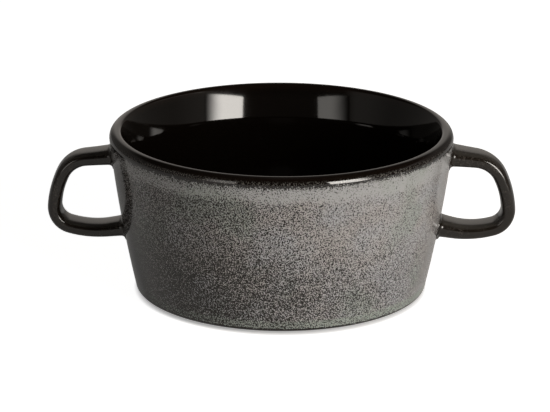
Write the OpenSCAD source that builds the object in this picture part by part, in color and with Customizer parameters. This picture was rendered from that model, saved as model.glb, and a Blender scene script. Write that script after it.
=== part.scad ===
// Two-handled stoneware crock for onion soup.
// A thrown bowl stands on a bare foot ring. Two looped strap handles are luted to its wall with
// slip, and the whole is glazed: a black liner inside and over the lip, a reactive glaze outside.
// Origin: on the table, under the middle of the bowl. +X runs through the right handle, +Z is up.
// Sizes are the fired and glazed ones. The clay lies one glaze thickness behind each of them.

/* [Bowl] */
// Radius of the rim at its widest
rim_r = 65; // [60:0.5:78]
// Height from the table to the top of the lip
crock_h = 63; // [54:0.5:76]
// Radius at which the wall would meet the level of the underside
base_r = 55.2; // [50:0.2:57]
// Radius of the wall's slight outward curve
wall_curve_r = 520; // [400:10:900]
// Thickness of the wall below the throat
wall_t = 7; // [5.6:0.1:8.4]
// Thickness of the floor
floor_t = 6; // [4.5:0.1:9]
// Radius of the curve between the floor and the wall, inside
cove_r = 13; // [6:0.5:18]
// Radius of the corner between the wall and the underside
heel_r = 1.3; // [0.8:0.1:3]

/* [Lip] */
// Thickness of the wall at the lip
lip_t = 5.3; // [4.4:0.1:5.6]
// Depth of the flared throat below the top of the lip
flare_h = 12.5; // [9:0.5:16]
// Radius of the lip's round outer shoulder, which a thin lip limits
lip_r = 4.1; // [2:0.1:4.2]
// Radius of the lip's inner edge
lip_edge_r = 0.9; // [0.7:0.05:1.1]

/* [Foot] */
// How far in from the wall's base the foot ring's outer edge stands
foot_inset = 9.2; // [7:0.2:14]
// Width of the ring that touches the table
foot_w = 3; // [2:0.1:5]
// Height of the underside above the table
foot_h = 1.2; // [0.8:0.1:2.5]
// How far each side of the foot ring leans out on its way up
foot_draft = 0.5; // [0.2:0.1:1]

/* [Glaze] */
// Thickness of the glaze
glaze_t = 0.45; // [0.3:0.05:0.5]
// Depth of the liner glaze's band down the outside of the lip
rim_band = 2.6; // [1.8:0.1:5]

/* [Handles] */
// Width of the strap, from front to back
strap_w = 13; // [10:0.2:16]
// Thickness of the strap
strap_t = 5.4; // [4.8:0.1:6.5]
// How much larger the strap is all round at its two roots
root_swell = 0.5; // [0:0.1:0.8]
// Radius of the strap's round edges
strap_edge_r = 2.2; // [1.8:0.1:2.3]
// Depth of the upper bar's middle line below the top of the lip, at the wall
handle_drop = 10.9; // [10:0.2:16]
// Slope of the upper bar where it leaves the wall, in degrees
upper_slope = -5.5; // [-8:0.5:4]
// Length of the upper bar, from the wall to the bend
upper_bar_l = 10.6; // [6:0.2:14]
// Radius of the upper bend, on the strap's middle line
upper_bend_r = 11; // [7:0.2:14]
// Turn of the upper bend, in degrees
upper_bend_turn = 59; // [54:0.5:64]
// Radius of the grip's long curve
grip_r = 36; // [28:0.5:42]
// Turn along the grip, in degrees
grip_turn = 21; // [17:0.5:25]
// Radius of the lower bend
lower_bend_r = 7.8; // [6:0.2:11]
// Turn of the lower bend, in degrees
lower_bend_turn = 78; // [72:0.5:82]
// Radius of the lower bar's slight sag
lower_bar_r = 40; // [28:1:46]
// Turn along the lower bar, in degrees
lower_bar_turn = 22; // [14:0.5:26]
// Radius of the slip fillet round each handle root
slip_r = 2; // [1.1:0.1:2.5]

/* [Hidden] */
clay_colour = "tan";
slip_colour = "peru";
liner_colour = "#15110f";
outer_colour = "#7d7872";
handle_colour = "#3a3633";
turn_sides = 240;
wall_sides = 2000;
round_sides = 64;
// Named overrun for every cut and every end that another solid trims
over = wall_t;

// Places in the wall's section, as [radius, height]
shoulder_r = min(lip_r, lip_t - lip_edge_r);
lip_c = [rim_r - shoulder_r, crock_h - shoulder_r];
base_p = [base_r, foot_h];
wall_c = meeting(lip_c, wall_curve_r - shoulder_r, base_p, wall_curve_r);
inner_curve_r = wall_curve_r - wall_t;
floor_z = foot_h + floor_t;
heel_c = on_curve(wall_curve_r - heel_r, foot_h + heel_r);
cove_c = on_curve(inner_curve_r - cove_r, floor_z + cove_r);
foot_r = base_r - foot_inset;
edge_c = on_curve(wall_curve_r - lip_t + lip_edge_r, crock_h - lip_edge_r);
throat_p = on_curve(inner_curve_r - wall_t, edge_c.y);
// The throat's flare is a cone that leaves the wall at flare_p and touches the lip's inner edge
flare_p = on_curve(inner_curve_r, crock_h - flare_h);
flare_gap = edge_c - flare_p;
flare_turn = atan2(flare_gap.x, flare_gap.y) - asin(lip_edge_r / norm(flare_gap));
flare_way = [cos(flare_turn), -sin(flare_turn)];

// The strap's section is an oval of four arcs: two flat faces and two round edges
strap_reach = strap_w / 2 - strap_edge_r;
face_r = (strap_reach ^ 2 + (strap_t / 2) ^ 2 - strap_edge_r ^ 2) / (strap_t - 2 * strap_edge_r);
face_c = face_r - strap_t / 2;
face_half_turn = atan(strap_reach / face_c);

// The strap's middle line, in the plane y = 0: each place is [x, z, heading]
handle_z = crock_h - handle_drop;
upper_root = [wall_radius(handle_z, glaze_t), handle_z, upper_slope];
upper_bar_end = upper_root + upper_bar_l * [cos(upper_slope), sin(upper_slope), 0];
bends = [[upper_bend_r, upper_bend_turn], [grip_r, grip_turn],
    [lower_bend_r, lower_bend_turn], [lower_bar_r, lower_bar_turn]];
lower_root = place_after(len(bends));

// Steps round the strap's section, as directions out of it in degrees
edge_steps = 7;
face_steps = 4;
edge_half_turn = 90 - face_half_turn;
turns = concat(
    [for (i = [0:edge_steps - 1]) edge_half_turn * (2 * i / edge_steps - 1)],
    [for (i = [0:face_steps - 1]) edge_half_turn + face_half_turn * 2 * i / face_steps],
    [for (i = [0:edge_steps - 1]) 180 + edge_half_turn * (2 * i / edge_steps - 1)],
    [for (i = [0:face_steps - 1]) 180 + edge_half_turn + face_half_turn * 2 * i / face_steps]);

// Places along the strap between its two roots
bend_steps = [6, 3, 8, 3];
stations = concat([upper_bar_end], [for (i = [0:len(bends) - 1]) for (k = [1:bend_steps[i]])
    after_bend(place_after(i), bends[i][0], bends[i][1] * k / bend_steps[i])]);

// The slip's hollow curve, as [how far out from the strap, how far up from the clay of the wall],
// and the coat of glaze over it, which has the same centre and a smaller radius
slip_turns = [12, 32, 51, 70];
slip_curve = [for (t = slip_turns) slip_r * [1 - sin(t), 1 - cos(t)]];
coat_r = slip_r - glaze_t;
coat_curve = [for (t = slip_turns) [slip_r - coat_r * sin(t), slip_r - glaze_t - coat_r * cos(t)]];
slip_foot = slip_curve[0].x;
slip_top = slip_curve[len(slip_curve) - 1].y;
// How far out the slip stands where it comes through the glaze of the wall
slip_at_glaze = lookup(glaze_t, [for (q = slip_curve) [q.y, q.x]]);
// Rings that fill a root's end, as shares of the strap's section
end_shares = [0.25, 0.6];

// Where two circles meet, on the side nearer to the axis
function meeting(a, a_r, b, b_r) =
    let (gap = b - a, d = norm(gap), along = (a_r ^ 2 - b_r ^ 2 + d ^ 2) / (2 * d),
        side = sqrt(a_r ^ 2 - along ^ 2))
    a + along * gap / d + side * [gap.y, -gap.x] / d;

// The point at one height on a circle round the wall's centre of curvature
function on_curve(r, z) = [wall_c.x + sqrt(r ^ 2 - (z - wall_c.y) ^ 2), z];

// A point moved straight out from the wall's centre of curvature
function outward(p, d) = p + d * (p - wall_c) / norm(p - wall_c);

// Radius of the outside of the wall at one height, a given depth below the glaze
function wall_radius(z, depth) = on_curve(wall_curve_r - depth, z).x;

// The strap's place after a turn of one bend to the right
function after_bend(p, r, turn) =
    let (h = p[2], e = h + 90 - turn)
    [p[0] + r * (sin(h) + cos(e)), p[1] + r * (sin(e) - cos(h)), h - turn];
function place_after(n) = n == 0 ? upper_bar_end
    : after_bend(place_after(n - 1), bends[n - 1][0], bends[n - 1][1]);

// The point of the strap's section whose outward direction is a, as [across, through],
// a given distance out from the clay
function strap_point(a, grow) =
    let (on_face = abs(cos(a)) < cos(edge_half_turn),
        c = on_face ? [0, -sign(sin(a)) * face_c] : [sign(cos(a)) * strap_reach, 0],
        r = on_face ? face_r : strap_edge_r)
    c + (r - glaze_t + grow) * [cos(a), sin(a)];

// How far along the strap's heading one of its fibres meets the wall, found by closing in on it
function wall_hit(p, heading, y, depth, s = 0, tries = 6) = tries == 0 ? s
    : wall_hit(p, heading, y, depth,
        (sqrt(wall_radius(p.y + s * sin(heading), depth) ^ 2 - y ^ 2) - p.x) / cos(heading), tries - 1);

// A ring of points round the strap at one place on its middle line
function ring(p, grow) = [for (a = turns) let (q = strap_point(a, grow))
    [p[0] - q.y * sin(p[2]), q.x, p[1] + q.y * cos(p[2])]];

// A ring at a root, where the strap has its full swell, each of its points a given lift out from
// the wall's surface at one depth.
// The strap heads out of the wall at the upper root (way 1) and into it at the lower (way -1).
function root_ring(root, way, grow, depth, lift, share = 1) = [for (a = turns)
    let (q = share * strap_point(a, grow + root_swell), h = root[2],
        p = [root[0] - q.y * sin(h), root[1] + q.y * cos(h)],
        s = wall_hit(p, h, q.x, depth) + way * lift)
    [p.x + s * cos(h), q.x, p.y + s * sin(h)]];

// The same list in the other order, where the strap heads into the wall
function along(way, v) = way > 0 ? v : [for (i = [len(v) - 1:-1:0]) v[i]];

// The rings of the slip's hollow curve, and of the glaze over it
function slip_rings(root, way) =
    [for (q = slip_curve) root_ring(root, way, q.x, glaze_t, q.y)];
function coat_rings(root, way) = concat([root_ring(root, way, coat_curve[0].x, 0, 0)],
    [for (q = coat_curve) root_ring(root, way, q.x, 0, q.y)]);
function under_coat_rings(root, way) = concat([root_ring(root, way, slip_at_glaze, 0, 0)],
    [for (q = slip_curve) if (q.y > glaze_t) root_ring(root, way, q.x, glaze_t, q.y)],
    [root_ring(root, way, 0, glaze_t, slip_top)]);

// Outline of the crock's section, as if it were solid, a given depth below the glaze
module crock_outline(depth) {
    underside = foot_h + depth;
    top = crock_h - depth;
    polygon([[0, underside], [heel_c.x, underside], heel_c, lip_c, [lip_c.x, top], [0, top]]);
    wall_fan(wall_curve_r - depth, heel_c, lip_c);
    translate(heel_c) circle(heel_r - depth, $fn = round_sides);
    translate(lip_c) circle(shoulder_r - depth, $fn = round_sides);
}

// Outline of the hollow without the throat's flare, a given depth behind the glaze
module hollow_body(depth) {
    bottom = floor_z - depth;
    mouth = crock_h + over;
    polygon([[0, bottom], [cove_c.x, bottom], cove_c, throat_p, [throat_p.x, mouth], [0, mouth]]);
    wall_fan(inner_curve_r + depth, cove_c, throat_p);
    translate(cove_c) circle(cove_r + depth, $fn = turn_sides);
}

module hollow_outline(depth) {
    mouth = crock_h + over;
    edge_p = edge_c - (lip_edge_r - depth) * flare_way;
    hollow_body(depth);
    difference() {
        polygon([[throat_p.x, flare_p.y], flare_p + depth * flare_way, edge_p, edge_c,
            [edge_c.x, mouth], [throat_p.x, mouth]]);
        translate(edge_c) circle(lip_edge_r - depth, $fn = round_sides);
    }
}

// The slice of the wall's large circle that lies outward from the line a to b
module wall_fan(r, a, b) {
    intersection() {
        translate(wall_c) circle(r, $fn = wall_sides);
        polygon([a, outward(a, over + cove_r), outward(b, over + cove_r), b]);
    }
}

module bowl_outline(depth) {
    difference() {
        crock_outline(depth);
        hollow_outline(depth);
    }
}

module foot_outline() {
    inner_r = foot_r - foot_w;
    top = foot_h + floor_t / 2;
    polygon([[inner_r, 0], [foot_r, 0], [foot_r + foot_draft, foot_h], [foot_r + foot_draft, top],
        [inner_r - foot_draft, top], [inner_r - foot_draft, foot_h]]);
}

// The part of the section that the liner glaze covers: all that lies inside the middle of the
// wall, and the lip down to the end of the band
module liner_zone() {
    band_z = crock_h - rim_band;
    mouth = crock_h + over;
    middle_r = wall_curve_r - lip_t / 2;
    hollow_body(wall_t / 2);
    polygon([[throat_p.x, flare_p.y], on_curve(middle_r, flare_p.y), on_curve(middle_r, band_z),
        [rim_r + over, band_z], [rim_r + over, mouth], [throat_p.x, mouth]]);
}

module glaze_outline() {
    difference() {
        bowl_outline(0);
        bowl_outline(glaze_t);
        foot_outline();
    }
}

module bowl_body() {
    color(clay_colour) rotate_extrude($fn = turn_sides) {
        bowl_outline(glaze_t);
        foot_outline();
    }
}

module liner_glaze() {
    color(liner_colour) rotate_extrude($fn = turn_sides) intersection() {
        glaze_outline();
        liner_zone();
    }
}

// Reactive glaze on the outside of the wall, round the heel and up to the foot ring.
// It stops at the handle roots, which the handles' own coats cover.
module outer_glaze() {
    color(outer_colour) difference() {
        rotate_extrude($fn = turn_sides) difference() {
            glaze_outline();
            liner_zone();
            square([foot_r - foot_w / 2, floor_z]);
        }
        both_sides() {
            slip_plug(upper_root, 1);
            slip_plug(lower_root, -1);
        }
    }
}

module base_glaze() {
    color(outer_colour) rotate_extrude($fn = turn_sides) intersection() {
        glaze_outline();
        square([foot_r - foot_w, foot_h + floor_t / 2]);
    }
}

// A solid through a row of rings, closed by a face at each end or joined end to start
module loft(rings, joined = false) {
    n = len(turns);
    m = len(rings);
    sides = [for (j = [0:m - (joined ? 1 : 2)]) for (i = [0:n - 1])
        let (k = (i + 1) % n, low = j * n, high = (j + 1) % m * n)
        each [[low + i, high + i, high + k], [low + i, high + k, low + k]]];
    last = (m - 1) * n;
    ends = joined ? [] : [for (i = [1:n - 2]) each [[0, i, i + 1], [last, last + i + 1, last + i]]];
    polyhedron(points = [for (r = rings) each r], faces = concat(sides, ends));
}

// The slip of one root as a plug, with the strap's place filled, run on into the wall
module slip_plug(root, way) {
    loft(along(way, concat([root_ring(root, way, slip_foot, glaze_t, -over / 2)],
        slip_rings(root, way))));
}

module both_sides() {
    children();
    mirror([1, 0, 0]) children();
}

// The looped strap, from wall to wall
module handle() {
    color(clay_colour) loft(concat(
        [for (share = end_shares) root_ring(upper_root, 1, 0, glaze_t, 0, share)],
        [for (lift = [0, slip_top]) root_ring(upper_root, 1, 0, glaze_t, lift)],
        [for (p = stations) ring(p, 0)],
        [for (lift = [slip_top, 0]) root_ring(lower_root, -1, 0, glaze_t, lift)],
        [for (share = along(-1, end_shares)) root_ring(lower_root, -1, 0, glaze_t, 0, share)]));
}

// Slip pressed into the corner round one root: a ring that fits the wall and the strap
module slip_joint(root, way) {
    outside = concat([root_ring(root, way, slip_foot, glaze_t, 0)], slip_rings(root, way));
    inside = [root_ring(root, way, 0, glaze_t, slip_top), root_ring(root, way, 0, glaze_t, 0)];
    color(slip_colour) loft(concat(along(way, outside), along(way, inside)), true);
}

// One coat over the strap and the slip, down to the glaze of the wall
module handle_glaze() {
    outside = concat(coat_rings(upper_root, 1), [for (p = stations) ring(p, glaze_t)],
        along(-1, coat_rings(lower_root, -1)));
    inside = concat(under_coat_rings(upper_root, 1), [for (p = stations) ring(p, 0)],
        along(-1, under_coat_rings(lower_root, -1)));
    color(handle_colour) loft(concat(outside, along(-1, inside)), true);
}

module right_handle() {
    handle();
}

module left_handle() {
    mirror([1, 0, 0]) handle();
}

module right_upper_joint() {
    slip_joint(upper_root, 1);
}

module left_upper_joint() {
    mirror([1, 0, 0]) slip_joint(upper_root, 1);
}

module right_lower_joint() {
    slip_joint(lower_root, -1);
}

module left_lower_joint() {
    mirror([1, 0, 0]) slip_joint(lower_root, -1);
}

module right_handle_glaze() {
    handle_glaze();
}

module left_handle_glaze() {
    mirror([1, 0, 0]) handle_glaze();
}

bowl_body();
left_handle();
right_handle();
left_upper_joint();
left_lower_joint();
right_upper_joint();
right_lower_joint();
liner_glaze();
outer_glaze();
base_glaze();
left_handle_glaze();
right_handle_glaze();
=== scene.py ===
"""Looks of a two-handled stoneware onion soup crock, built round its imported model.

The pot is turned and the handles are pulled by two Geometry Nodes trees, from the sizes below and
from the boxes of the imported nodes. Lengths are in metres, or in millimetres where a name ends in
_mm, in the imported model's own frame. Angles are in degrees, except the camera's.
"""
import logging
import math
from dataclasses import dataclass, field
from enum import Enum
from functools import partial
from typing import Any

import bmesh
import bpy
from bpy.types import Camera, Material, Mesh, Node, NodeSocket, NodeTree, Object, World
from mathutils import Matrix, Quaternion, Vector


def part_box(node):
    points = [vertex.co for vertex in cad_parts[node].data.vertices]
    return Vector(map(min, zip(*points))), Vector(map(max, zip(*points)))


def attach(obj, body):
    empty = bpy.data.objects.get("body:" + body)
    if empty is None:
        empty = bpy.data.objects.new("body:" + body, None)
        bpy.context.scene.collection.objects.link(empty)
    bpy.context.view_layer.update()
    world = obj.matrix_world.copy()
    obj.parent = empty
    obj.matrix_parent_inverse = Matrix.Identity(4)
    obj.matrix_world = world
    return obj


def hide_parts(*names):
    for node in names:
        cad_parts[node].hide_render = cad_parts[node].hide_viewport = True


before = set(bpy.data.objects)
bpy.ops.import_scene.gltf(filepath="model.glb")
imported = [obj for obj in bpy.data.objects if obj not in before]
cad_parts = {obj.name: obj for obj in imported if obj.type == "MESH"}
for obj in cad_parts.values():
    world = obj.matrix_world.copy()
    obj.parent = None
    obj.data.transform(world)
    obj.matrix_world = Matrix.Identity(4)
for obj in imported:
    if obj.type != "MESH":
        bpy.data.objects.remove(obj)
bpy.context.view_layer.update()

LOG = logging.getLogger("crock")
MM = 0.001
BODY = "root"
PHOTO_W = 550
PHOTO_H = 412
SEAM = 0.002 * MM
CERAMIC_IOR = 1.56
Point = tuple[float, float]
Span = tuple[float, float]


class Side(Enum):
    """The side of the pot that a handle is on, as the sign of its place along X."""

    LEFT = -1
    RIGHT = 1


def linear(code: str) -> tuple[float, float, float, float]:
    """Turns an sRGB hex colour into the linear colour that a shader takes.

    Args:
        code: Six hex digits, such as "7d7872".

    Returns:
        Red, green, blue and an alpha of 1.
    """
    parts = [int(code[i : i + 2], 16) / 255 for i in (0, 2, 4)]
    red, green, blue = (
        c / 12.92 if c <= 0.04045 else ((c + 0.055) / 1.055) ** 2.4 for c in parts
    )
    return red, green, blue, 1.0


def add_node(tree: NodeTree, kind: str, inputs: dict[str | int, Any] | None = None, **settings: Any) -> Node:
    """Adds one node with its settings, and links or fills its inputs.

    Args:
        tree: The tree that gets the node.
        kind: The node's type name.
        inputs: Values or output sockets, by input name or number.
        **settings: Properties of the node itself.

    Returns:
        The new node.
    """
    node = tree.nodes.new(kind)
    for name, value in settings.items():
        setattr(node, name, value)
    for key, value in (inputs or {}).items():
        if isinstance(value, NodeSocket):
            tree.links.new(value, node.inputs[key])
        else:
            node.inputs[key].default_value = value
    return node


def math_node(tree: NodeTree, operation: str, *values: Any, clamp: bool = False) -> NodeSocket:
    """Adds a Math node.

    Args:
        tree: The tree that gets the node.
        operation: Its operation.
        *values: Its inputs.
        clamp: Whether the result is held between 0 and 1.

    Returns:
        The result's socket.
    """
    inputs = dict(enumerate(values))
    return add_node(tree, "ShaderNodeMath", inputs, operation=operation, use_clamp=clamp).outputs[0]


def hypotenuse(tree: NodeTree, a: NodeSocket, b: NodeSocket) -> NodeSocket:
    """Returns the socket of the length of a step that goes a one way and b square to it."""
    squares = math_node(tree, "MULTIPLY_ADD", a, a, math_node(tree, "MULTIPLY", b, b))
    return math_node(tree, "SQRT", squares)


def emptied_tree(owner: Material | World) -> NodeTree:
    """Switches a material or a world to nodes, and returns its emptied tree."""
    owner.use_nodes = True
    owner.node_tree.nodes.clear()
    return owner.node_tree


def linked(name: str, data: Mesh | Camera) -> Object:
    """Makes an object of a mesh or a camera, and puts it into the scene."""
    thing = bpy.data.objects.new(name, data)
    bpy.context.scene.collection.objects.link(thing)
    return thing


def orbit(azimuth: float, elevation: float, distance: float) -> Vector:
    """Returns a place by its distance and its angles in radians, from -Y towards +X and up."""
    flat = distance * math.cos(elevation)
    return Vector((flat * math.sin(azimuth), -flat * math.cos(azimuth), distance * math.sin(elevation)))


def arc(centre: Point, radius: float, start: float, end: float, steps: int) -> list[Point]:
    """Points along an arc.

    Args:
        centre: The arc's centre.
        radius: Its radius.
        start: Direction of its first point from the centre, in degrees.
        end: Direction of its last point, in degrees.
        steps: How many stretches it is drawn with.

    Returns:
        The points, with both ends.
    """
    turns = [math.radians(start + (end - start) * i / steps) for i in range(steps + 1)]
    return [(centre[0] + radius * math.cos(t), centre[1] + radius * math.sin(t)) for t in turns]


def straight(start: Point, heading: float, run: float, steps: int) -> list[Point]:
    """Points along a straight stretch.

    Args:
        start: Its first point.
        heading: Its direction, in degrees.
        run: Its length.
        steps: How many stretches it is drawn with.

    Returns:
        The points, with both ends.
    """
    x, y = run * math.cos(math.radians(heading)), run * math.sin(math.radians(heading))
    return [(start[0] + x * i / steps, start[1] + y * i / steps) for i in range(steps + 1)]


def shifted(points: list[Point], depth: float) -> list[Point]:
    """Moves a path sideways, to the left of the way it runs.

    Args:
        points: The path.
        depth: How far it moves.

    Returns:
        The moved path, point for point.
    """
    moved = []
    for i, (x, y) in enumerate(points):
        before = points[max(i - 1, 0)]
        after = points[min(i + 1, len(points) - 1)]
        dx, dy = after[0] - before[0], after[1] - before[1]
        run = math.hypot(dx, dy)
        moved.append((x - depth * dy / run, y + depth * dx / run))
    return moved


def outline_mesh(name: str, points: list[tuple[float, float, float]], closed: bool) -> Mesh:
    """Makes a mesh of edges that follows a path.

    Args:
        name: The mesh's name.
        points: The path's points.
        closed: Whether the last point is joined to the first.

    Returns:
        The mesh.
    """
    edges = [(i, i + 1) for i in range(len(points) - 1)]
    if closed:
        edges.append((len(points) - 1, 0))
    mesh = bpy.data.meshes.new(name)
    mesh.from_pydata(points, edges, [])
    return mesh


def grow(name: str, outline: Mesh, tree: NodeTree, sizes: dict[str, Any]) -> Object:
    """Runs a Geometry Nodes tree on an outline and keeps the result as a plain mesh.

    Args:
        name: The new object's name.
        outline: The mesh of edges that the tree starts from.
        tree: The tree.
        sizes: Values for the tree's inputs, by name.

    Returns:
        An object at the origin, with no modifier.
    """
    source = linked(name + "_outline", outline)
    modifier = source.modifiers.new("Form", "NODES")
    modifier.node_group = tree
    sockets = {s.name: s.identifier for s in tree.interface.items_tree if s.in_out == "INPUT"}
    for label, value in sizes.items():
        modifier[sockets[label]] = value
    bpy.context.view_layer.update()
    graph = bpy.context.evaluated_depsgraph_get()
    mesh = bpy.data.meshes.new_from_object(source.evaluated_get(graph), depsgraph=graph)
    source.modifiers.remove(modifier)
    bpy.data.objects.remove(source)
    mesh.name = name
    return linked(name, mesh)


def form_tree(name: str, kinds: dict[str, str]) -> tuple[NodeTree, Any]:
    """Starts a Geometry Nodes tree that forms an outline.

    Args:
        name: The tree's name.
        kinds: The socket types of its other inputs, by name.

    Returns:
        The tree, and the sockets of its inputs by name.
    """
    tree = bpy.data.node_groups.new(name, "GeometryNodeTree")
    tree.interface.new_socket("Geometry", in_out="OUTPUT", socket_type="NodeSocketGeometry")
    for label, kind in {"Outline": "Geometry", **kinds}.items():
        tree.interface.new_socket(label, in_out="INPUT", socket_type="NodeSocket" + kind)
    return tree, add_node(tree, "NodeGroupInput").outputs


def finish_form(tree: NodeTree, mesh: NodeSocket, material: NodeSocket, crease: float) -> None:
    """Merges the seam, shades the form smooth between its creases and gives it its finish.

    Args:
        tree: The tree.
        mesh: The formed mesh.
        material: The input that holds the finish.
        crease: The angle from which an edge stays sharp, in degrees.
    """
    merged = add_node(tree, "GeometryNodeMergeByDistance", {"Geometry": mesh, "Distance": SEAM})
    smooth = add_node(
        tree, "GeometryNodeSetShadeSmooth", {0: merged.outputs[0], "Shade Smooth": True}, domain="FACE"
    )
    angle = add_node(tree, "GeometryNodeInputMeshEdgeAngle").outputs["Unsigned Angle"]
    sharp = add_node(
        tree, "FunctionNodeCompare", {0: angle, 1: math.radians(crease)},
        data_type="FLOAT", operation="GREATER_THAN",
    )
    creased = add_node(
        tree, "GeometryNodeSetShadeSmooth",
        {0: smooth.outputs[0], "Selection": sharp.outputs[0], "Shade Smooth": False}, domain="EDGE",
    )
    real = add_node(tree, "GeometryNodeRealizeInstances", {0: creased.outputs[0]})
    inputs = {"Geometry": real.outputs[0], "Material": material}
    dressed = add_node(tree, "GeometryNodeSetMaterial", inputs)
    add_node(tree, "NodeGroupOutput", {"Geometry": dressed.outputs[0]})


def wheel_tree() -> NodeTree:
    """Builds the tree that turns an outline round the pot's axis, as on a wheel.

    The outline lies in the plane z = 0 as (radius less the wheel's radius, height).

    Returns:
        The tree, with the inputs Facets, Wheel radius and Finish.
    """
    kinds = {"Facets": "Int", "Wheel radius": "Float", "Finish": "Material"}
    tree, sizes = form_tree("Turned on the wheel", kinds)
    circle = {"Resolution": sizes["Facets"], "Radius": sizes["Wheel radius"]}
    wheel = add_node(tree, "GeometryNodeCurvePrimitiveCircle", circle, mode="RADIUS")
    section = add_node(tree, "GeometryNodeMeshToCurve", {0: sizes["Outline"]})
    turned = add_node(
        tree, "GeometryNodeCurveToMesh",
        {"Curve": wheel.outputs[0], "Profile Curve": section.outputs[0], "Fill Caps": False},
    )
    finish_form(tree, turned.outputs[0], sizes["Finish"], crease=40)
    return tree


def strap_tree() -> NodeTree:
    """Builds the tree that pulls a strap along a path and flares it where it meets the wall.

    The strap's section is a rounded oblong of the form |x / a|^n + |y / b|^n = 1. Each point's distance
    from the pot's wall decides how far it moves out: by the slip's hollow fillet close to the wall, and
    by the strap's slow swell further away.

    Returns:
        The tree. Its inputs are the sizes of the strap, the slip and the wall, a seed and the finish.
    """
    soft_end = 0.3
    tree, sizes = form_tree("Pulled strap", {
        "Width": "Float", "Thickness": "Float", "Squareness": "Float", "Around": "Int",
        "Slip radius": "Float", "Root swell": "Float", "Swell length": "Float",
        "Wall curve radius": "Float", "Wall centre radius": "Float", "Wall centre height": "Float",
        "Hand wobble": "Float", "Wobble size": "Float", "Seed": "Float", "Finish": "Material",
    })
    calc = partial(math_node, tree)
    circle = {"Resolution": sizes["Around"], "Radius": 1.0}
    oval = add_node(tree, "GeometryNodeCurvePrimitiveCircle", circle, mode="RADIUS")
    spot = add_node(tree, "GeometryNodeInputPosition").outputs[0]
    unit = add_node(tree, "ShaderNodeSeparateXYZ", {0: spot}).outputs
    power = calc("DIVIDE", 2.0, sizes["Squareness"])
    stretched = {}
    for axis, size in enumerate(("Width", "Thickness")):
        reach = calc("POWER", calc("ABSOLUTE", unit[axis]), power)
        half = calc("MULTIPLY", sizes[size], 0.5)
        stretched[axis] = calc("MULTIPLY", calc("MULTIPLY", reach, calc("SIGN", unit[axis])), half)
    place = add_node(tree, "ShaderNodeCombineXYZ", stretched)
    section = add_node(
        tree, "GeometryNodeSetPosition", {"Geometry": oval.outputs[0], "Position": place.outputs[0]}
    )
    path = add_node(tree, "GeometryNodeMeshToCurve", {0: sizes["Outline"]})
    strap = add_node(
        tree, "GeometryNodeCurveToMesh",
        {"Curve": path.outputs[0], "Profile Curve": section.outputs[0], "Fill Caps": True},
    ).outputs[0]
    here = add_node(tree, "GeometryNodeInputPosition").outputs[0]
    x, y, z = add_node(tree, "ShaderNodeSeparateXYZ", {0: here}).outputs
    over = calc("SUBTRACT", z, sizes["Wall centre height"])
    across = calc("SUBTRACT", hypotenuse(tree, x, y), sizes["Wall centre radius"])
    past_wall = calc("SUBTRACT", hypotenuse(tree, over, across), sizes["Wall curve radius"])
    gap = calc("MAXIMUM", past_wall, 0.0)
    slip = sizes["Slip radius"]
    left = calc("MAXIMUM", calc("SUBTRACT", slip, gap), 0.0)
    under = calc("SUBTRACT", calc("MULTIPLY", slip, slip), calc("MULTIPLY", left, left))
    fillet = calc("SUBTRACT", slip, calc("SQRT", calc("MAXIMUM", under, 0.0)))
    away = calc("DIVIDE", gap, sizes["Swell length"], clamp=True)
    eased = calc("SUBTRACT", 1.0, calc("SMOOTH_MIN", away, 1.0, soft_end))
    swell = calc("MULTIPLY", sizes["Root swell"], calc("MULTIPLY", eased, eased))
    scale = calc("DIVIDE", 1.0, sizes["Wobble size"])
    unevenness = add_node(
        tree, "ShaderNodeTexNoise",
        {"Vector": here, "W": sizes["Seed"], "Scale": scale, "Detail": 1.0}, noise_dimensions="4D",
    ).outputs["Fac"]
    wobble = calc("MULTIPLY", sizes["Hand wobble"], calc("SUBTRACT", unevenness, 1.0))
    out = calc("ADD", calc("ADD", fillet, swell), wobble)
    normal = add_node(tree, "GeometryNodeInputNormal").outputs[0]
    offset = add_node(tree, "ShaderNodeVectorMath", {0: normal, "Scale": out}, operation="SCALE")
    flared = add_node(tree, "GeometryNodeSetPosition", {"Geometry": strap, "Offset": offset.outputs[0]})
    finish_form(tree, flared.outputs[0], sizes["Finish"], crease=50)
    return tree


@dataclass(frozen=True)
class Stoneware:
    """Bare fired stoneware clay, wiped clean of glaze: buff, dry and dotted with iron specks."""

    clay: str = "b9a58a"
    dark_clay: str = "9c8669"
    iron: str = "5b4632"
    grain_mm: float = 0.5
    grain_depth_mm: float = 0.06
    cloud_mm: float = 14.0
    speck_mm: float = 1.6
    speck_edge: Span = (0.12, 0.2)
    roughness: float = 0.86

    def material(self, name: str) -> Material:
        """Builds the finish.

        Args:
            name: The material's name.

        Returns:
            The material.
        """
        # Unglazed stoneware: no shine at all, a fine open grain and scattered burnt specks of iron.
        mat, tree, place, shader = start_material(name, self.roughness)
        grain = noise(tree, place, self.grain_mm, detail=3.0)
        cloud = noise(tree, place, self.cloud_mm, detail=2.0)
        body = blend(tree, cloud, self.dark_clay, self.clay)
        specks = add_node(
            tree, "ShaderNodeTexVoronoi", {"Vector": place, "Scale": 1 / (self.speck_mm * MM)}, feature="F1"
        )
        dots = fall(tree, specks.outputs["Distance"], self.speck_edge)
        colour = blend(tree, dots, body, self.iron)
        tree.links.new(colour, shader.inputs["Base Color"])
        bump(tree, shader, grain, self.grain_depth_mm * MM, strength=0.5)
        return mat


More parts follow.
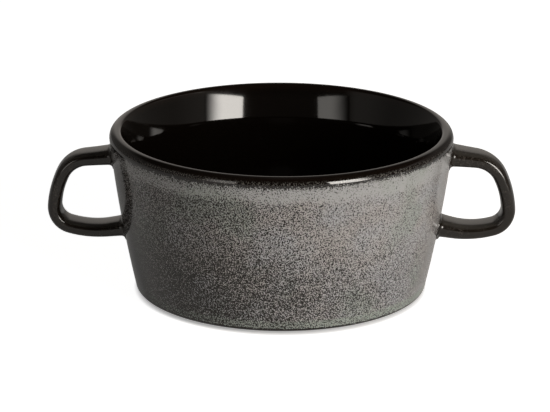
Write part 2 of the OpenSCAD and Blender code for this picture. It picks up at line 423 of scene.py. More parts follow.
@dataclass(frozen=True)
class LinerGlaze:
    """Black liner glaze: a thick, glassy iron glaze that breaks to brown where it thins over an edge."""

    black: str = "090604"
    brown: str = "140e0a"
    fleck: str = "5f5c58"
    roughness: float = 0.07
    ripple_mm: float = 9.0
    ripple_depth_mm: float = 0.012
    cloud_mm: float = 3.0
    wander_mm: float = 1.2
    thin_mm: Span = (-3.2, -0.4)
    face_mm: Span = (-0.9, 0.0)
    face_share: float = 0.8
    fleck_mm: float = 0.5
    fleck_edge: Span = (0.5, 0.6)

    def material(self, name: str, lip_z: float, rim_r: float) -> Material:
        """Builds the finish.

        Args:
            name: The material's name.
            lip_z: Height of the top of the lip, where the glaze is thinnest.
            rim_r: Radius of the lip's outer face, which the outer glaze has flecked.

        Returns:
            The material.
        """
        # Glassy black glaze: mirror-smooth with a slow ripple, a shade warmer along the lip, and flecked
        # with grey on the lip's outer face, where the outer glaze lies under it.
        mat, tree, place, shader = start_material(name, self.roughness)
        east, north, height = add_node(tree, "ShaderNodeSeparateXYZ", {0: place}).outputs
        cloud = noise(tree, place, self.cloud_mm, detail=3.0)
        wander = shift(tree, height, cloud, self.wander_mm)
        thin = rise(tree, wander, self.thin_mm, lip_z, MM)
        face = rise(tree, hypotenuse(tree, east, north), self.face_mm, rim_r, MM, top=self.face_share)
        fleck = noise(tree, place, self.fleck_mm, detail=1.0, seed=6.0)
        flecked = math_node(tree, "MULTIPLY", face, rise(tree, fleck, self.fleck_edge))
        glaze = blend(tree, thin, self.black, self.brown)
        tree.links.new(blend(tree, flecked, glaze, self.fleck), shader.inputs["Base Color"])
        ripple = noise(tree, place, self.ripple_mm, detail=1.0)
        bump(tree, shader, ripple, self.ripple_depth_mm * MM, strength=1.0)
        return mat


@dataclass(frozen=True)
class ReactiveGlaze:
    """Reactive glaze over dark slip: pale grey that broke into fine dark worms and dots as it melted.

    The zones pool, thin and closing are heights from the end of the band under the lip, and foot and
    the painted shade line along the heel are heights over the lowest glaze. Shares are of the rim's
    radius, for the painted light that grows towards the right, and of that end's height.
    """

    mark: str = "1b1714"
    rim_dark: str = "15110f"
    grey: str = "a3a3a5"
    warm_grey: str = "a4a09e"
    green: str = "959b95"
    pale: str = "a2a2a2"
    roughness: float = 0.12
    dot_depth_mm: float = 0.02
    cloud_mm: float = 17.0
    tint_mm: float = 23.8
    worm_mm: float = 0.38
    dot_mm: float = 0.7
    rag_mm: float = 2.2
    wave_mm: float = 6.0
    rim_rag_mm: float = 2.4
    foot_rag_mm: float = 1.2
    # Ragged edge of the painted shade line along the heel.
    heel_shade_rag_mm: float = 0.8
    pool_mm: Span = (-9.0, -5.0)
    thin_mm: Span = (-5.0, 0.0)
    closing_mm: Span = (-2.2, 1.6)
    foot_mm: Span = (3.6, 5.0)
    # Heights of the painted shade line where the heel turns under.
    heel_shade_mm: Span = (0.5, 1.5)
    # Span of the painted light gradient: lighter towards the right and darker on the left.
    lit_side_shares: Span = (-0.9, 0.85)
    sunk_shares: Span = (0.25, 0.7)
    cloud_edge: Span = (0.35, 0.65)
    tint_edge: Span = (0.52, 0.66)
    tint_share: float = 0.7
    worm_edge: Span = (0.546, 0.588)
    dot_edge: Span = (0.41, 0.47)
    solid_edge: Span = (0.6, 0.95)

    def material(self, name: str, rim: Point, base_z: float) -> Material:
        """Builds the finish.

        Args:
            name: The material's name.
            rim: Radius and height at which the dark band under the lip ends.
            base_z: Height of the lowest glaze.

        Returns:
            The material.
        """
        # Melted glaze with a clear shine. Dark slip breaks through it in a fine labyrinth, which closes
        # into solid black at the lip and opens where the glaze ran thick: under the rim and along the foot.
        # The marks open further towards the right and close on the left, partly fewer marks there and partly
        # painted light from the right, and they close into a painted shade line along the heel. The real
        # worms are about 0.3 mm wide, and they are drawn a little coarser, so that they still show at the
        # photograph's size.
        mat, tree, place, shader = start_material(name, self.roughness)
        east, _, height = add_node(tree, "ShaderNodeSeparateXYZ", {0: place}).outputs
        rim_r, rim_z = rim
        cloud = noise(tree, place, self.cloud_mm, detail=2.0)
        tint = noise(tree, place, self.tint_mm, detail=2.0, seed=4.0)
        worm = noise(tree, place, self.worm_mm, detail=1.0, distortion=0.4)
        dot = noise(tree, place, self.dot_mm, detail=1.0, seed=9.0)
        rag = noise(tree, place, self.rag_mm, detail=4.0, seed=2.0)

        wave = shift(tree, height, cloud, self.wave_mm)
        pool = rise(tree, wave, self.pool_mm, rim_z, MM)
        thin = rise(tree, wave, self.thin_mm, rim_z, MM)
        closing = rise(tree, shift(tree, height, rag, self.rim_rag_mm), self.closing_mm, rim_z, MM)
        foot = fall(tree, shift(tree, height, rag, self.foot_rag_mm), self.foot_mm, base_z, MM)
        # Painted shade: the marks close into a dark line along the heel, where it turns under.
        heel_shade = fall(tree, shift(tree, height, rag, self.heel_shade_rag_mm), self.heel_shade_mm, base_z, MM)
        # Painted light: the marks open towards the right and close on the left, partly fewer marks on that
        # side and partly the light from the right painted in.
        last = rise(tree, east, self.lit_side_shares, 0.0, rim_r)
        sunk = fall(tree, height, self.sunk_shares, 0.0, rim_z)

        cloudy = blend(tree, rise(tree, cloud, self.cloud_edge), self.warm_grey, self.grey)
        ground = blend(tree, pool, cloudy, self.pale)
        greened = math_node(tree, "MAXIMUM", foot, rise(tree, tint, self.tint_edge, top=self.tint_share))
        tinted = blend(tree, greened, ground, self.green)

        # Each zone opens the marks up to the pale glaze by its weight, or closes them where it is negative.
        # The share towards the right paints light from that side, and the line along the heel paints shade.
        open_up = weigh(
            tree, (pool, 0.082), (foot, 0.04), (last, 0.12), (sunk, -0.053), (closing, -0.4), (cloud, 0.05),
            (heel_shade, -0.3), (thin, -0.07),
        )
        worms = fall(tree, math_node(tree, "ADD", worm, open_up), self.worm_edge)
        dots = fall(tree, math_node(tree, "ADD", dot, open_up), self.dot_edge)
        marked = blend(tree, math_node(tree, "MAXIMUM", worms, dots), tinted, self.mark)
        solid = rise(tree, closing, self.solid_edge)
        tree.links.new(blend(tree, solid, marked, self.rim_dark), shader.inputs["Base Color"])
        bump(tree, shader, dot, self.dot_depth_mm * MM, strength=0.3)
        return mat


@dataclass(frozen=True)
class HandleGlaze:
    """Dark coat of the handles: the reactive glaze lies thin here and stays charcoal and glossy."""

    charcoal: str = "1d1813"
    ash: str = "4a4540"
    # Grey of the painted reflection on faces that look up.
    top_sheen: str = "6d6a65"
    roughness: float = 0.13
    speck_mm: float = 0.9
    speck_edge: Span = (0.52, 0.68)
    speck_share: float = 0.8
    cloud_mm: float = 9.0
    cloud_edge: Span = (0.42, 0.62)
    bare_share: float = 0.1
    # Upward slopes over which the painted reflection grows, and its share.
    upper_edge: Span = (0.5, 1.0)
    upper_share: float = 0.28
    ripple_mm: float = 4.0
    ripple_depth_mm: float = 0.02

    def material(self, name: str) -> Material:
        """Builds the finish.

        Args:
            name: The material's name.

        Returns:
            The material.
        """
        # Thin glossy glaze over dark clay: nearly black, with a faint ash-grey speckle in places. The faces
        # that look up are painted greyer, a painted reflection of the bright room above.
        mat, tree, place, shader = start_material(name, self.roughness)
        speck = noise(tree, place, self.speck_mm, detail=2.0, distortion=1.2)
        cloud = noise(tree, place, self.cloud_mm, detail=2.0, seed=3.0)
        dots = rise(tree, speck, self.speck_edge, top=self.speck_share)
        where = ramp(tree, cloud, (self.cloud_edge[0], self.bare_share), (self.cloud_edge[1], 1.0))
        specked = blend(tree, math_node(tree, "MULTIPLY", dots, where), self.charcoal, self.ash)
        normal = add_node(tree, "ShaderNodeNewGeometry").outputs["Normal"]
        upward = add_node(tree, "ShaderNodeSeparateXYZ", {0: normal}).outputs["Z"]
        # Painted reflection: faces that look up are greyed, standing in for the bright room mirrored in them.
        upper = rise(tree, upward, self.upper_edge, top=self.upper_share)
        tree.links.new(blend(tree, upper, specked, self.top_sheen), shader.inputs["Base Color"])
        ripple = noise(tree, place, self.ripple_mm, detail=2.0)
        bump(tree, shader, ripple, self.ripple_depth_mm * MM, strength=0.6)
        return mat


def start_material(name: str, roughness: float) -> tuple[Material, NodeTree, NodeSocket, Node]:
    """Starts a material with its shader and its Object coordinates.

    Args:
        name: The material's name.
        roughness: The shader's roughness.

    Returns:
        The material, its tree, the coordinates' socket and the shader.
    """
    mat = bpy.data.materials.new(name)
    tree = emptied_tree(mat)
    shader = add_node(tree, "ShaderNodeBsdfPrincipled", {"Roughness": roughness, "IOR": CERAMIC_IOR})
    add_node(tree, "ShaderNodeOutputMaterial", {"Surface": shader.outputs[0]})
    place = add_node(tree, "ShaderNodeTexCoord").outputs["Object"]
    return mat, tree, place, shader


def noise(
    tree: NodeTree, place: NodeSocket, size_mm: float,
    detail: float, distortion: float = 0.0, seed: float = 0.0,
) -> NodeSocket:
    """Adds a noise pattern of a real size.

    Args:
        tree: The material's tree.
        place: The coordinates.
        size_mm: Size of its largest patches, in millimetres.
        detail: How many finer layers it has.
        distortion: How far it is stirred.
        seed: Which of its patterns it shows.

    Returns:
        The pattern's socket, about 0.5 on average.
    """
    scale = 1 / (size_mm * MM)
    inputs = {"Vector": place, "W": seed, "Scale": scale, "Detail": detail, "Distortion": distortion}
    return add_node(tree, "ShaderNodeTexNoise", inputs, noise_dimensions="4D").outputs["Fac"]


def weigh(tree: NodeTree, *terms: tuple[NodeSocket, float]) -> NodeSocket:
    """Adds up patterns, each times its weight, and returns the total's socket."""
    total = 0.0
    for pattern, weight in terms:
        total = math_node(tree, "MULTIPLY_ADD", pattern, weight, total)
    return total


def shift(tree: NodeTree, height: NodeSocket, pattern: NodeSocket, spread_mm: float) -> NodeSocket:
    """Moves a height up and down by a pattern, so that what follows it has a ragged edge.

    Args:
        tree: The material's tree.
        height: The height.
        pattern: The pattern, about 0.5 on average.
        spread_mm: How far the pattern moves the height from end to end, in millimetres.

    Returns:
        The moved height's socket.
    """
    swing = math_node(tree, "SUBTRACT", pattern, 0.5)
    return math_node(tree, "MULTIPLY_ADD", swing, spread_mm * MM, height)


def ramp(tree: NodeTree, value: NodeSocket, low: Point, high: Point) -> NodeSocket:
    """Maps a stretch of values smoothly onto another.

    Args:
        tree: The material's tree.
        value: The value.
        low: The lower end, as (value, result).
        high: The upper end, as (value, result).

    Returns:
        The result's socket.
    """
    inputs = {0: value, 1: low[0], 2: high[0], 3: low[1], 4: high[1]}
    return add_node(tree, "ShaderNodeMapRange", inputs, interpolation_type="SMOOTHSTEP").outputs[0]


def rise(
    tree: NodeTree, value: NodeSocket, span: Span, origin: float = 0.0, unit: float = 1.0, top: float = 1.0
) -> NodeSocket:
    """Grows smoothly from 0 while a value crosses a span.

    Args:
        tree: The tree that gets the node.
        value: The value.
        span: The span's ends.
        origin: Where they are counted from.
        unit: What they are counted in.
        top: What the result grows to.

    Returns:
        The result's socket.
    """
    return ramp(tree, value, (origin + span[0] * unit, 0.0), (origin + span[1] * unit, top))


def fall(tree: NodeTree, value: NodeSocket, span: Span, origin: float = 0.0, unit: float = 1.0) -> NodeSocket:
    """Fades smoothly from 1 to 0 while a value crosses a span, with the arguments of rise."""
    return ramp(tree, value, (origin + span[0] * unit, 1.0), (origin + span[1] * unit, 0.0))


def blend(tree: NodeTree, share: NodeSocket, low: Any, high: Any) -> NodeSocket:
    """Blends two colours.

    Args:
        tree: The material's tree.
        share: How much of the second one shows.
        low: The first colour, as a socket or a hex code.
        high: The second colour.

    Returns:
        The blend's socket.
    """
    ends = [linear(c) if isinstance(c, str) else c for c in (low, high)]
    # The node's colour sockets share their names with others, so they go by number.
    return add_node(tree, "ShaderNodeMix", {0: share, 6: ends[0], 7: ends[1]}, data_type="RGBA").outputs[2]


def bump(tree: NodeTree, shader: Node, pattern: NodeSocket, depth: float, strength: float) -> None:
    """Raises a pattern on a shader's surface.

    Args:
        tree: The material's tree.
        shader: The shader.
        pattern: The pattern.
        depth: Its real depth.
        strength: How much of it shows.
    """
    node = add_node(tree, "ShaderNodeBump", {"Strength": strength, "Distance": depth, "Height": pattern})
    tree.links.new(node.outputs[0], shader.inputs["Normal"])


@dataclass
class Section:
    """The pot's section: one path over the glaze, from the underside over the lip to the floor inside.

    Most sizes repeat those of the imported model, and the rim's radius and the heights are read from its
    boxes. The lip, the throat and the wall under it follow the photograph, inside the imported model's
    box. The throat's stops are (depth under the top of the lip, slope from upright).
    """

    base_r: float = 55.2 * MM
    wall_curve_r: float = 520 * MM
    wall_t: float = 7 * MM
    throat_wall_t: float = 7.7 * MM
    taper: float = 24 * MM
    floor_t: float = 6 * MM
    cove_r: float = 13 * MM
    heel_r: float = 1.3 * MM
    lip_r: float = 3.1 * MM
    throat_depth: float = 13 * MM
    throat: tuple[Point, ...] = ((11.6 * MM, 14.7), (9 * MM, 18.0), (1.7 * MM, 25.5))
    throat_edge_r: float = 1.65 * MM
    throat_step: float = 0.5 * MM
    foot_inset: float = 9.2 * MM
    foot_w: float = 3 * MM
    foot_h: float = 1.2 * MM
    foot_draft: float = 0.5 * MM
    foot_edge_r: float = 0.35 * MM
    glaze_t: float = 0.45 * MM
    heel_steps: int = 10
    wall_steps: int = 48
    shoulder_steps: int = 6
    lip_steps: int = 18
    edge_steps: int = 10
    inner_wall_steps: int = 40
    cove_steps: int = 24
    floor_steps: int = 12
    foot_steps: int = 4

    def __post_init__(self) -> None:
        """Reads the rim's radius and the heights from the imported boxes, and finds the centres."""
        self.rim_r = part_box("outer_glaze")[1].x
        self.crock_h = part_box("liner_glaze")[1].z
        self.band_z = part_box("outer_glaze")[1].z
        self.foot_r = self.base_r - self.foot_inset
        self.floor_z = self.foot_h + self.floor_t
        self.lip_c = (self.rim_r - self.lip_r, self.crock_h - self.lip_r)
        self.wall_c = self.meeting(
            self.lip_c, self.wall_curve_r - self.lip_r, (self.base_r, self.foot_h), self.wall_curve_r
        )
        self.inner_curve_r = self.wall_curve_r - self.wall_t
        self.heel_c = self.on_curve(self.wall_curve_r - self.heel_r, self.foot_h + self.heel_r)
        self.cove_c = self.on_curve(self.inner_curve_r - self.cove_r, self.floor_z + self.cove_r)
        self.band = math.degrees(math.asin((self.band_z - self.lip_c[1]) / self.lip_r))

    @staticmethod
    def meeting(a: Point, a_r: float, b: Point, b_r: float) -> Point:
        """Where two circles meet, on the side nearer to the axis.

        Args:
            a: Centre of the first circle.
            a_r: Its radius.
            b: Centre of the second circle.
            b_r: Its radius.

        Returns:
            The point.
        """
        dx, dz = b[0] - a[0], b[1] - a[1]
        d = math.hypot(dx, dz)
        along = (a_r**2 - b_r**2 + d**2) / (2 * d)
        side = math.sqrt(a_r**2 - along**2)
        return a[0] + (along * dx + side * dz) / d, a[1] + (along * dz - side * dx) / d

    def on_curve(self, radius: float, z: float) -> Point:
        """The point at one height on a circle round the wall's centre of curvature."""
        return self.wall_c[0] + math.sqrt(radius**2 - (z - self.wall_c[1]) ** 2), z

    def bearing(self, p: Point) -> float:
        """Direction of a point from the wall's centre of curvature, in degrees."""
        return math.degrees(math.atan2(p[1] - self.wall_c[1], p[0] - self.wall_c[0]))

    def inner_wall(self, z: float) -> Point:
        """The point of the inner wall at one height. The wall thickens towards the throat."""
        up = min(max((z - self.crock_h + self.throat_depth) / self.taper + 1, 0.0), 1.0)
        thicker = (self.throat_wall_t - self.wall_t) * up * up * (3 - 2 * up)
        return self.on_curve(self.inner_curve_r - thicker, z)

    def outside(self) -> list[Point]:
        """The path from the foot ring round the heel and up the wall to the end of the rim's band.

        Returns:
            Its points, from the bottom up.
        """
        low, high = self.bearing(self.heel_c), self.bearing(self.lip_c)
        heel = arc(self.heel_c, self.heel_r, -90, low, self.heel_steps)
        wall = arc(self.wall_c, self.wall_curve_r, low, high, self.wall_steps)
        shoulder = arc(self.lip_c, self.lip_r, high, self.band, self.shoulder_steps)
        start = (self.foot_r + self.foot_draft, self.foot_h)
        return [start] + heel + wall[1:] + shoulder[1:]

    def throat_path(self) -> list[Point]:
        """The flared throat from the wall up to the lip's inner edge, with its slowly growing slope.

        Returns:
            Its points, from the bottom up.
        """
        r, z = self.inner_wall(self.crock_h - self.throat_depth)
        last = self.throat[-1][1]
        end = self.throat_edge_r * (1 - math.sin(math.radians(last)))
        stops = [(self.throat_depth, -self.bearing((r, z))), *self.throat, (end, last)]
        points = [(r, z)]
        for (d0, t0), (d1, t1) in zip(stops, stops[1:]):
            steps = max(2, round((d0 - d1) / self.throat_step))
            for i in range(steps):
                middle = math.radians(t0 + (t1 - t0) * (i + 0.5) / steps)
                z += (d0 - d1) / steps
                r += (d0 - d1) / steps * math.tan(middle)
                points.append((r, z))
        return points

    def inside(self) -> list[Point]:
        """The path from the end of the rim's band over the lip and down to the middle of the floor.

        Returns:
            Its points, in that order.
        """
        lip = arc(self.lip_c, self.lip_r, self.band, 90, self.lip_steps)
        throat = self.throat_path()
        last = self.throat[-1][1]
        edge_r = self.throat_edge_r
        edge_c = (throat[-1][0] + edge_r * math.cos(math.radians(last)), self.crock_h - edge_r)
        edge = arc(edge_c, edge_r, 90, 180 - last, self.edge_steps)
        cove = arc(self.cove_c, self.cove_r, self.bearing(self.cove_c), -90, self.cove_steps)
        top, count = throat[0][1], self.inner_wall_steps
        wall = [self.inner_wall(top + (cove[0][1] - top) * i / count) for i in range(1, count + 1)]
        floor = straight(cove[-1], 180, self.cove_c[0], self.floor_steps)
        return lip + edge + throat[-2::-1] + wall + cove[1:] + floor[1:-1] + [(0.0, self.floor_z)]

    def foot(self) -> list[Point]:
        """The clay's path from the underside round the foot ring to the heel's start, under the glaze."""
        inner = self.foot_r - self.foot_w
        under = self.foot_h + self.glaze_t
        lift = self.foot_draft * self.glaze_t / self.foot_h
        edge = self.foot_edge_r
        start = [(0.0, under), (inner - self.foot_draft - lift, under)]
        ring = arc((inner + edge, edge), edge, 180, 270, self.foot_steps)
        ring += arc((self.foot_r - edge, edge), edge, -90, 0, self.foot_steps)
        return start + ring + [(self.foot_r + self.foot_draft + lift, under)]


@dataclass
class Bowl:
    """The thrown bowl: its clay, its liner glaze and its outer glaze."""

    section: Section
    facets: int = 320
    wheel_r: float = 100 * MM
    clay: Stoneware = field(default_factory=Stoneware)
    liner: LinerGlaze = field(default_factory=LinerGlaze)
    reactive: ReactiveGlaze = field(default_factory=ReactiveGlaze)
    tree: NodeTree = field(default_factory=wheel_tree)

    def turn(self, name: str, path: list[Point], closed: bool, finish: Material) -> Object:
        """Turns a path round the axis.

        Args:
            name: The piece's name.
            path: The path, as (radius, height).
            closed: Whether its end is joined to its start. One that starts and ends on the axis isn't.
            finish: The material.

        Returns:
            The piece.
        """
        points = [(r - self.wheel_r, -z, 0.0) for r, z in path]
        sizes = {"Facets": self.facets, "Wheel radius": self.wheel_r, "Finish": finish}
        return grow(name, outline_mesh(name, points, closed), self.tree, sizes)

    def build(self) -> list[Object]:
        """Builds and dresses the bowl's pieces.

        Returns:
            The pieces.
        """
        s = self.section
        clay = self.clay.material("Bare stoneware")
        black = self.liner.material("Black liner glaze", s.crock_h, s.rim_r)
        grey = self.reactive.material("Reactive grey glaze", (s.rim_r, s.band_z), s.foot_h)
        outside, inside = s.outside(), s.inside()
        under_inside = shifted(inside, s.glaze_t)
        under_inside[-1] = (0.0, s.floor_z - s.glaze_t)
        under_outside = shifted(outside, s.glaze_t)
        base_end = s.foot_r - s.foot_w - s.foot_draft
        base_top = s.foot_h + s.glaze_t
        base = [(0.0, s.foot_h), (base_end, s.foot_h), (base_end, base_top), (0.0, base_top)]
        clay_path = s.foot() + under_outside[1:] + under_inside[1:]
        pieces = []
        for name, node, slot, path, closed, finish in (
            ("liner_coat", "liner_glaze", "black_liner_glaze", inside[::-1] + under_inside, False, black),
            ("outer_coat", "outer_glaze", "reactive_outer_glaze", outside + under_outside[::-1], True, grey),
            ("base_coat", "base_glaze", "reactive_outer_glaze", base, False, grey),
            ("clay_bowl", "bowl_body", "stoneware", clay_path, False, clay),
        ):
            pieces.append(self.turn(name, path, closed, finish))
            settle(pieces[-1], node)
        return pieces


@dataclass
class StrapHandle:
    """A looped strap handle: its route from wall to wall, its section, its clay and its coat.

    The grip, the bends and the lower bar are (radius, turn). The drop is the depth of the upper root
    under the lip.
    """

    section: Section
    side: Side
    finish: Material
    clay: Material
    drop: float
    upper_bar: float
    grip: Point
    lower_bar: Point
    width: float = 13 * MM
    thickness: float = 5.4 * MM
    squareness: float = 3.1
    upper_slope: float = -5.5
    upper_bend: Point = (11 * MM, 59)
    lower_bend: Point = (7.8 * MM, 78)
    slip_r: float = 1.55 * MM
    swell: float = 0.5 * MM
    swell_length: float = 12 * MM
    wobble: float = 0.12 * MM
    wobble_size: float = 14 * MM
    sunk: float = 1.2 * MM
    around: int = 72
    step: float = 0.35 * MM

    def route(self) -> list[Point]:
        """The strap's middle line in the plane y = 0, from inside the wall to inside the wall.

        Returns:
            Its points, as (distance from the axis, height).
        """
        s = self.section
        heading = self.upper_slope
        root = s.on_curve(s.wall_curve_r - s.glaze_t, s.crock_h - self.drop)
        start = straight(root, heading, -self.sunk, 1)[1]
        run = self.sunk + self.upper_bar
        points = straight(start, heading, run, round(run / self.step))
        for radius, turn in (self.upper_bend, self.grip, self.lower_bend, self.lower_bar):
            centre = straight(points[-1], heading - 90, radius, 1)[1]
            steps = max(4, round(math.radians(turn) * radius / self.step))
            points += arc(centre, radius, heading + 90, heading + 90 - turn, steps)[1:]
            heading -= turn
        end = points[-1]
        run = end[0] - s.on_curve(s.wall_curve_r - s.glaze_t - self.sunk, end[1])[0]
        return points + straight(end, heading, run, round(run / self.step))[1:]

    def pull(self, tree: NodeTree, name: str, depth: float, finish: Material) -> Object:
        """Pulls the strap, as thick as it is at one depth under the surface of its coat.

        Args:
            tree: The tree that pulls a strap.
            name: The piece's name.
            depth: The depth.
            finish: The material.

        Returns:
            The piece.
        """
        points = [(self.side.value * x, 0.0, z) for x, z in self.route()]
        s = self.section
        sizes = {
            "Width": self.width - 2 * depth, "Thickness": self.thickness - 2 * depth,
            "Squareness": self.squareness, "Around": self.around, "Slip radius": self.slip_r,
            "Root swell": self.swell, "Swell length": self.swell_length,
            "Wall curve radius": s.wall_curve_r - depth, "Wall centre radius": s.wall_c[0],
            "Wall centre height": s.wall_c[1], "Hand wobble": self.wobble, "Wobble size": self.wobble_size,
            "Seed": float(self.side.value), "Finish": finish,
        }
        return grow(name, outline_mesh(name, points, False), tree, sizes)

    def build(self, tree: NodeTree) -> list[Object]:
        """Builds the handle's clay and its coat.

        Args:
            tree: The tree that pulls a strap.

        Returns:
            The two pieces.
        """
        side = self.side.name.lower()
        clay = self.pull(tree, f"{side}_handle_clay", self.section.glaze_t, self.clay)
        coat = self.pull(tree, f"{side}_handle_coat", 0.0, self.finish)
        settle(clay, f"{side}_handle")
        settle(coat, f"{side}_handle_glaze")
        return [clay, coat]


def settle(piece: Object, node: str) -> None:
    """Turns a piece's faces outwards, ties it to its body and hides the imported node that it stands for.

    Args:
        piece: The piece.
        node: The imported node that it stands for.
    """
    shape = bmesh.new()
    shape.from_mesh(piece.data)
    bmesh.ops.recalc_face_normals(shape, faces=shape.faces)
    shape.to_mesh(piece.data)
    shape.free()
    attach(piece, BODY)
    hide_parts(node)


def dress_joints() -> list[str]:
    """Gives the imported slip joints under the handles' roots their finish.

    Returns:
        The names of the dressed nodes.
    """
    # Slip that has drunk the dark glaze over it and fired nearly black.
    slip = Stoneware(clay="241e19", dark_clay="1a1612", iron="120e0b", grain_mm=0.3).material("Luting slip")
    dressed = []
    for name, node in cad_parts.items():
        if name.endswith("_joint"):
            node.data.materials.clear()
            node.data.materials.append(slip)
            dressed.append(name)
    return sorted(dressed)


@dataclass
class SoftBox:
    """A tall lit panel beside the camera, as bright as it should look in a mirror."""

    name: str
    azimuths: Point
    elevations: Point
    distance: float
    strength: float
    fade_share: float
    tint: str = "fffaf3"

    def build(self) -> None:
        """Builds the panel, brightest at its edge next to the camera and fading to its far edge."""
        near, far = (math.radians(a) for a in self.azimuths)
        low, high = (math.radians(e) for e in self.elevations)
        ways = ((near, low), (far, low), (far, high), (near, high))
        mesh = bpy.data.meshes.new(self.name)
        mesh.from_pydata([tuple(orbit(*way, self.distance)) for way in ways], [], [(0, 1, 2, 3)])
        across = mesh.uv_layers.new(name="Panel")
        for loop, spot in zip(across.data, ((0, 0), (1, 0), (1, 1), (0, 1))):
            loop.uv = spot
        mesh.materials.append(self.light())
        panel = linked(self.name, mesh)
        panel.visible_camera = False

    def light(self) -> Material:
        """The panel's glow, fading across it."""
        mat = bpy.data.materials.new(self.name)
        tree = emptied_tree(mat)
        uv = add_node(tree, "ShaderNodeUVMap", uv_map="Panel").outputs[0]
        across = add_node(tree, "ShaderNodeSeparateXYZ", {0: uv}).outputs[0]
        glow = ramp(tree, across, (1 - self.fade_share, self.strength), (1.0, 0.0))
        emission = add_node(tree, "ShaderNodeEmission", {"Color": linear(self.tint), "Strength": glow})
        add_node(tree, "ShaderNodeOutputMaterial", {"Surface": emission.outputs[0]})
        return mat


@dataclass
class Studio:
    """The white table, the pale room round it and the two soft boxes.

    The room's front, flank, side and back are each as bright as a share of white, and each passes into
    the next over a span of bearings from the photograph's side. Its window lies to the right.
    """

    floor_half: float = 6.0
    front: float = 0.03
    flank: float = 0.2
    side: float = 0.11
    back: float = 0.5
    flank_bearings: Span = (48, 60)
    side_bearings: Span = (62, 95)
    back_bearings: Span = (154, 170)
    ceiling_share: float = 0.11
    ceiling_elevations: Span = (26, 40)
    window: float = 0.5
    window_start: Span = (60, 68)
    window_end: Span = (105, 130)
    window_bottom: Span = (28.5, 30)
    window_top: Span = (32.5, 34)
    fill_share: float = 0.75
    table_glow: float = 0.95
    table_shine: float = 0.12
    contact_reach: float = 2 * MM
    warm: str = "fff7ee"
    boxes: tuple[SoftBox, ...] = (
        SoftBox("Right soft box", (31.8, 64), (4, 31), distance=1.6, strength=13.3, fade_share=0.47),
        SoftBox("Left soft box", (-28.6, -55), (4, 31), distance=1.6, strength=1.9, fade_share=0.62),
    )

    @staticmethod
    def heights(elevations: Span) -> Span:
        """The heights of two directions of length 1, from their elevations."""
        return math.sin(math.radians(elevations[0])), math.sin(math.radians(elevations[1]))

    @staticmethod
    def rays(tree: NodeTree) -> tuple[NodeSocket, NodeSocket]:
        """Tells rays apart: 1 for the camera's own, and 1 for those that a shiny or clear surface sends."""
        path = add_node(tree, "ShaderNodeLightPath").outputs
        shown = math_node(tree, "MAXIMUM", path["Is Glossy Ray"], path["Is Transmission Ray"])
        return path["Is Camera Ray"], shown

    def floor(self) -> None:
        """Builds the white table top that the pot stands on."""
        h = self.floor_half
        mesh = bpy.data.meshes.new("Table top")
        mesh.from_pydata([(-h, -h, 0), (h, -h, 0), (h, h, 0), (-h, h, 0)], [], [(0, 1, 2, 3)])
        mat = bpy.data.materials.new("White table")
        tree = emptied_tree(mat)
        # Matte white laminate, lifted to plain white where the camera sees it, and a little where glaze
        # mirrors it. The lift fades out in the last millimetres under the heel, as contact shade does.
        matte = add_node(tree, "ShaderNodeBsdfDiffuse", {"Color": linear("f0f0ef")})
        seen, shown = self.rays(tree)
        lift = weigh(tree, (seen, self.table_glow), (shown, self.table_shine))
        reach = {"Distance": self.contact_reach}
        open_air = add_node(tree, "ShaderNodeAmbientOcclusion", reach).outputs["AO"]
        strength = math_node(tree, "MULTIPLY", lift, open_air)
        glow = add_node(tree, "ShaderNodeEmission", {"Color": linear("ffffff"), "Strength": strength})
        both = add_node(tree, "ShaderNodeAddShader", {0: matte.outputs[0], 1: glow.outputs[0]})
        add_node(tree, "ShaderNodeOutputMaterial", {"Surface": both.outputs[0]})
        mesh.materials.append(mat)
        floor = linked("Table top", mesh)

    def room(self) -> None:
        """Builds the world: pale behind and beside the pot up to a height, dark above and in front.

        Shiny and clear surfaces show it in full, the camera sees plain white, and it lights the pot
        with a share of it.
        """
        world = bpy.data.worlds.new("Studio room")
        bpy.context.scene.world = world
        tree = emptied_tree(world)
        way = add_node(tree, "ShaderNodeTexCoord").outputs["Generated"]
        x, y, z = add_node(tree, "ShaderNodeSeparateXYZ", {0: way}).outputs
        ceiling = self.heights(self.ceiling_elevations)
        low = ramp(tree, z, (ceiling[0], 1.0), (ceiling[1], self.ceiling_share))
        bearing = math_node(tree, "ARCTAN2", x, math_node(tree, "MULTIPLY", y, -1.0))
        turn = math_node(tree, "MULTIPLY", bearing, math.degrees(1))
        away = math_node(tree, "ABSOLUTE", turn)
        walls = math_node(tree, "ADD", self.front, weigh(
            tree, (rise(tree, away, self.flank_bearings), self.flank - self.front),
            (rise(tree, away, self.side_bearings), self.side - self.flank),
            (rise(tree, away, self.back_bearings), self.back - self.side),
        ))
        window = self.window
        for edge in (
            rise(tree, turn, self.window_start), fall(tree, turn, self.window_end),
            rise(tree, z, self.heights(self.window_bottom)), fall(tree, z, self.heights(self.window_top)),
        ):
            window = math_node(tree, "MULTIPLY", window, edge)
        room = math_node(tree, "MULTIPLY_ADD", low, walls, window)
        seen, shown = self.rays(tree)
        share = math_node(tree, "MULTIPLY_ADD", shown, 1 - self.fill_share, self.fill_share)
        strength = math_node(tree, "MAXIMUM", math_node(tree, "MULTIPLY", room, share), seen)
        colour = blend(tree, seen, self.warm, "ffffff")
        glow = add_node(tree, "ShaderNodeBackground", {"Color": colour, "Strength": strength})
        add_node(tree, "ShaderNodeOutputWorld", {"Surface": glow.outputs[0]})

    def build(self) -> None:
        """Builds the studio."""
        self.floor()
        self.room()
        for box in self.boxes:
            box.build()


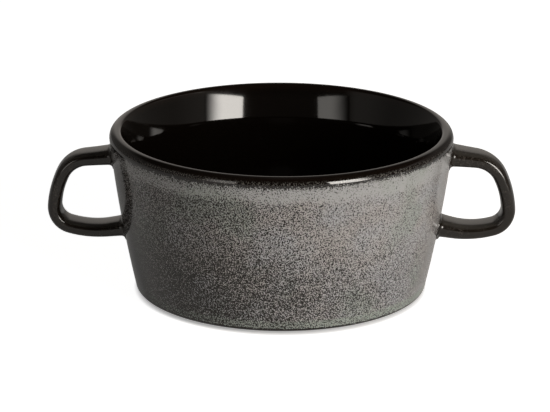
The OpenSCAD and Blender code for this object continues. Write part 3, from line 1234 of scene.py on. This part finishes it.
@dataclass
class PhotoCamera:
    """The camera at the photograph's place. Its angles are in radians."""

    distance: float = 1.150
    elevation: float = 0.3169
    azimuth: float = 0.0115
    target_z: float = 29.7 * MM
    focal_px: float = 3018.4
    target_px: Point = (281.01, 211.1)
    roll: float = 0.0055
    sensor: float = 36.0
    clip_start: float = 0.05

    def build(self) -> None:
        """Builds the camera, and makes it the scene's own."""
        data = bpy.data.cameras.new("Photo camera")
        data.sensor_width = self.sensor
        data.lens = self.focal_px * self.sensor / PHOTO_W
        data.shift_x = (PHOTO_W / 2 - self.target_px[0]) / PHOTO_W
        data.shift_y = (self.target_px[1] - PHOTO_H / 2) / PHOTO_W
        data.clip_start = self.clip_start
        camera = linked("Photo camera", data)
        target = Vector((0, 0, self.target_z))
        camera.location = target + orbit(self.azimuth, self.elevation, self.distance)
        look = (target - camera.location).to_track_quat("-Z", "Y")
        camera.rotation_euler = (look @ Quaternion((0, 0, 1), self.roll)).to_euler()
        bpy.context.scene.camera = camera


def main() -> None:
    """Builds the pot, the studio and the camera."""
    logging.basicConfig(level=logging.INFO, format="%(name)s: %(message)s")
    section = Section()
    LOG.info("rim radius %.2f mm, height %.2f mm", section.rim_r / MM, section.crock_h / MM)
    pieces = Bowl(section).build()
    coat = HandleGlaze().material("Dark handle glaze")
    clay = Stoneware().material("Handle clay")
    handles = (
        StrapHandle(
            section, Side.LEFT, coat, clay, drop=11.2 * MM, upper_bar=10.3 * MM,
            grip=(35.3 * MM, 21), lower_bar=(37 * MM, 24),
        ),
        StrapHandle(
            section, Side.RIGHT, coat, clay, drop=10.2 * MM, upper_slope=-6.6, upper_bar=9.9 * MM,
            upper_bend=(12 * MM, 58), grip=(34.8 * MM, 21), lower_bar=(33 * MM, 28), thickness=5.6 * MM,
            swell=0.9 * MM, swell_length=20 * MM,
        ),
    )
    tree = strap_tree()
    for handle in handles:
        pieces += handle.build(tree)
    for piece in pieces:
        LOG.info("%s: %d faces", piece.name, len(piece.data.polygons))
    LOG.info("slip joints: %s", ", ".join(dress_joints()))
    Studio().build()
    PhotoCamera().build()
    bpy.context.scene.view_settings.view_transform = "Standard"


if __name__ == "__main__":
    main()
